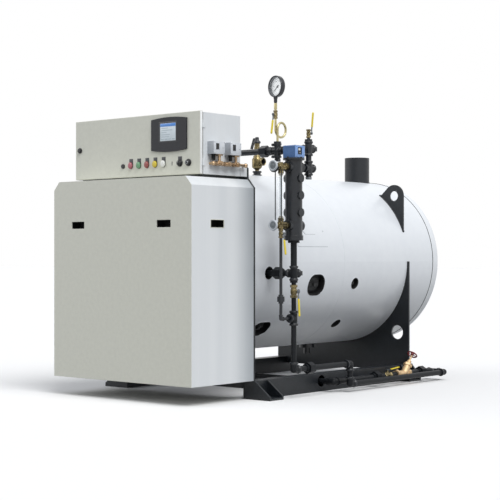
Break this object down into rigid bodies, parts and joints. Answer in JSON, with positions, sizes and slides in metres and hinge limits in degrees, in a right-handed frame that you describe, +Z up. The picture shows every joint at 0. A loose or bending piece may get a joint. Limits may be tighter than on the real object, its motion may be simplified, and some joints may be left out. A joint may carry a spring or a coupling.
{
  "type": "industrial boiler",
  "caption": "Horizontal fire-tube steam boiler on skid rails, with a front burner enclosure, a control cabinet and water column, gauge, drain and blowdown piping.",
  "frame": {"origin": "on the floor, at the centre of the four anchor holes", "axes": "+X to the right seen from the front, +Y to the rear along the shell, +Z up"},
  "size_m": [1.4445, 2.446, 1.8621],
  "materials": {
    "enclosure_paint": "satin light grey enamel",
    "cabinet_paint": "satin light grey powder coat",
    "jacket_paint": "gloss off-white enamel",
    "black_paint": "satin black enamel",
    "vessel_steel": "primed steel",
    "black_iron": "black malleable iron and pipe",
    "valve_brass": "aged brass",
    "bright_bronze": "bright cast bronze",
    "manifold_copper": "copper tube and brass fittings",
    "lever_grip": "yellow vinyl on plated steel",
    "head_blue": "blue enamel",
    "control_grey": "grey enamel",
    "glass": "clear",
    "rod_steel": "steel rod",
    "wheel_grey": "grey painted iron",
    "wheel_red": "dark red painted iron",
    "screen_plastic": "dark grey bezel",
    "switch_plastic": "black plastic",
    "lamp_plastic": "coloured lenses on dark collars",
    "gauge_black": "black gauge case"
  },
  "bodies": {
    "boiler": {"rail_right": "black_paint", "rail_left": "black_paint", "front_feet": "black_paint", "rear_feet": "black_paint", "front_plate": "black_paint", "shell_jacket": "jacket_paint", "pressure_vessel": "vessel_steel", "port_covers": "vessel_steel", "rear_cap": "jacket_paint", "flue_stub": "black_paint", "rear_saddle": "black_paint", "lifting_lugs": "black_paint", "hood_front": "enclosure_paint", "hood_right": "enclosure_paint", "hood_left": "enclosure_paint", "hood_top": "enclosure_paint", "hood_floor": "enclosure_paint", "panel_base": "black_paint", "panel_cabinet": "cabinet_paint", "panel_hinges": "cabinet_paint", "panel_brackets": "cabinet_paint", "pressure_controls": "control_grey", "control_manifold": "manifold_copper", "steam_line": "black_iron", "siphon": "valve_brass", "gauge_valve": "valve_brass", "pressure_gauge": "gauge_black", "riser": "black_iron", "riser_valve": "valve_brass", "water_column": "black_iron", "level_control_head": "head_blue", "glass_cocks": "valve_brass", "glass_tube": "glass", "guard_rods": "rod_steel", "glass_drain_valve": "valve_brass", "glass_drain_pipe": "black_iron", "column_leg": "black_iron", "leg_valve": "valve_brass", "drain_line": "black_iron", "blowdown_line": "black_iron", "blowdown_valve": "valve_brass", "globe_valve": "bright_bronze", "blowdown_nipple": "black_iron", "blowdown_tail": "black_iron", "safety_valve": "valve_brass", "bottom_nozzle": "black_iron"},
    "panel_door": {"panel_door": "cabinet_paint", "touch_screen": "screen_plastic", "pilot_lamps": "lamp_plastic", "door_switches": "switch_plastic", "door_latch": "switch_plastic"},
    "gauge_valve_lever": {"gauge_valve_lever": "lever_grip"},
    "riser_valve_lever": {"riser_valve_lever": "lever_grip"},
    "upper_cock_wheel": {"upper_cock_wheel": "wheel_grey"},
    "lower_cock_wheel": {"lower_cock_wheel": "wheel_grey"},
    "glass_drain_lever": {"glass_drain_lever": "lever_grip"},
    "leg_valve_lever": {"leg_valve_lever": "lever_grip"},
    "blowdown_lever": {"blowdown_lever": "lever_grip"},
    "globe_handwheel": {"globe_handwheel": "wheel_red"},
    "safety_valve_lever": {"safety_valve_lever": "gauge_black"}
  },
  "joints": [
    {"name": "panel_door_hinge", "type": "hinge", "parent": "boiler", "child": "panel_door", "pos_m": [0.5046, -1.171, 1.427], "axis": [0, 0, 1], "range_deg": [0, 105]},
    {"name": "gauge_valve_lever_turn", "type": "hinge", "parent": "boiler", "child": "gauge_valve_lever", "pos_m": [0.474, -0.514, 1.63464], "axis": [0, -1, 0], "range_deg": [0, 90]},
    {"name": "riser_valve_lever_turn", "type": "hinge", "parent": "boiler", "child": "riser_valve_lever", "pos_m": [0.718, -0.514, 1.5092], "axis": [1, 0, 0], "range_deg": [0, 90]},
    {"name": "glass_drain_lever_turn", "type": "hinge", "parent": "boiler", "child": "glass_drain_lever", "pos_m": [0.718, -0.764, 0.9348], "axis": [1, 0, 0], "range_deg": [-90, 0]},
    {"name": "leg_valve_lever_turn", "type": "hinge", "parent": "boiler", "child": "leg_valve_lever", "pos_m": [0.718, -0.649, 0.61126], "axis": [1, 0, 0], "range_deg": [0, 90]},
    {"name": "blowdown_lever_turn", "type": "hinge", "parent": "boiler", "child": "blowdown_lever", "pos_m": [0.64, 0.385, 0.062], "axis": [0, 0, 1], "range_deg": [-90, 0]},
    {"name": "upper_cock_wheel_turn", "type": "hinge", "parent": "boiler", "child": "upper_cock_wheel", "pos_m": [0.718, -0.826, 1.311], "axis": [0, -1, 0], "range_deg": [0, 720]},
    {"name": "lower_cock_wheel_turn", "type": "hinge", "parent": "boiler", "child": "lower_cock_wheel", "pos_m": [0.718, -0.826, 0.981], "axis": [0, -1, 0], "range_deg": [0, 720]},
    {"name": "globe_handwheel_turn", "type": "hinge", "parent": "boiler", "child": "globe_handwheel", "pos_m": [0.64, 0.66526, 0.17593], "axis": [0, 0.6293, 0.7771], "range_deg": [0, 1080]},
    {"name": "safety_valve_lift", "type": "hinge", "parent": "boiler", "child": "safety_valve_lever", "pos_m": [0, -0.121, 1.545], "axis": [0, 1, 0], "range_deg": [0, 30]}
  ]
}
